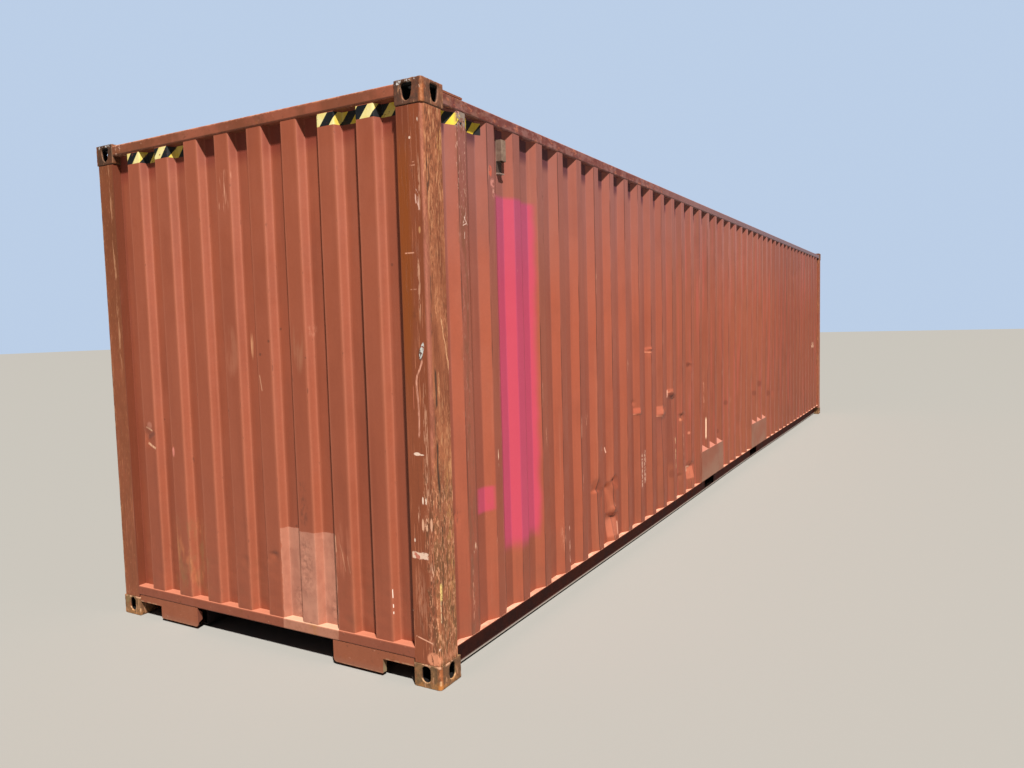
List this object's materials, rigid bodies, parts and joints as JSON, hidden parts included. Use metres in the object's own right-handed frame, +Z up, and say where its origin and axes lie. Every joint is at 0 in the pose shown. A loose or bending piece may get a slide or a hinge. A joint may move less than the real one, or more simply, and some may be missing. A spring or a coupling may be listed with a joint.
{
  "type": "forty foot high cube shipping container",
  "caption": "Weathered red steel freight container, corrugated walls, pierced corner castings and closed rear cargo doors.",
  "frame": {"origin": "centre of the rectangle on the ground under the corner castings", "axes": "+Z up, +X towards the door end, +Y towards the right side seen from behind the doors"},
  "size_m": [12.192, 2.438, 2.896],
  "materials": {
    "wall_paint": "matte",
    "frame_paint": "matte",
    "rusted_steel": "rough",
    "cast_steel": "rough",
    "underseal": "matte",
    "vent_plastic": "matte",
    "zinc_steel": "satin",
    "gasket_rubber": "matte",
    "plywood": "matte"
  },
  "bodies": {
    "root": {"casting_front_left_bottom": "cast_steel", "casting_front_left_top": "cast_steel", "casting_front_right_bottom": "cast_steel", "casting_front_right_top": "cast_steel", "casting_rear_left_bottom": "cast_steel", "casting_rear_left_top": "cast_steel", "casting_rear_right_bottom": "cast_steel", "casting_rear_right_top": "cast_steel", "post_front_left": "rusted_steel", "post_front_right": "rusted_steel", "post_rear_left": "rusted_steel", "post_rear_right": "rusted_steel", "front_top_rail": "frame_paint", "front_sill": "frame_paint", "front_sill_plates": "frame_paint", "front_end_wall": "wall_paint", "left_top_rail": "frame_paint", "left_bottom_rail": "underseal", "left_side_wall": "wall_paint", "left_fork_pads": "frame_paint", "right_top_rail": "frame_paint", "right_bottom_rail": "underseal", "right_side_wall": "wall_paint", "right_fork_pads": "frame_paint", "ventilators": "vent_plastic", "roof_panel": "wall_paint", "roof_corner_plates": "frame_paint", "door_header": "frame_paint", "door_sill": "frame_paint", "left_door_frame": "frame_paint", "left_door_panel": "wall_paint", "right_door_frame": "frame_paint", "right_door_panel": "wall_paint", "door_gaskets": "gasket_rubber", "lock_rods": "zinc_steel", "rod_brackets": "zinc_steel", "cam_keepers": "zinc_steel", "door_handles": "zinc_steel", "door_hinges": "rusted_steel", "floor_boards": "plywood", "floor_crossmembers": "underseal", "gooseneck_tunnel": "underseal", "fork_pockets": "underseal"}
  },
  "joints": []
}
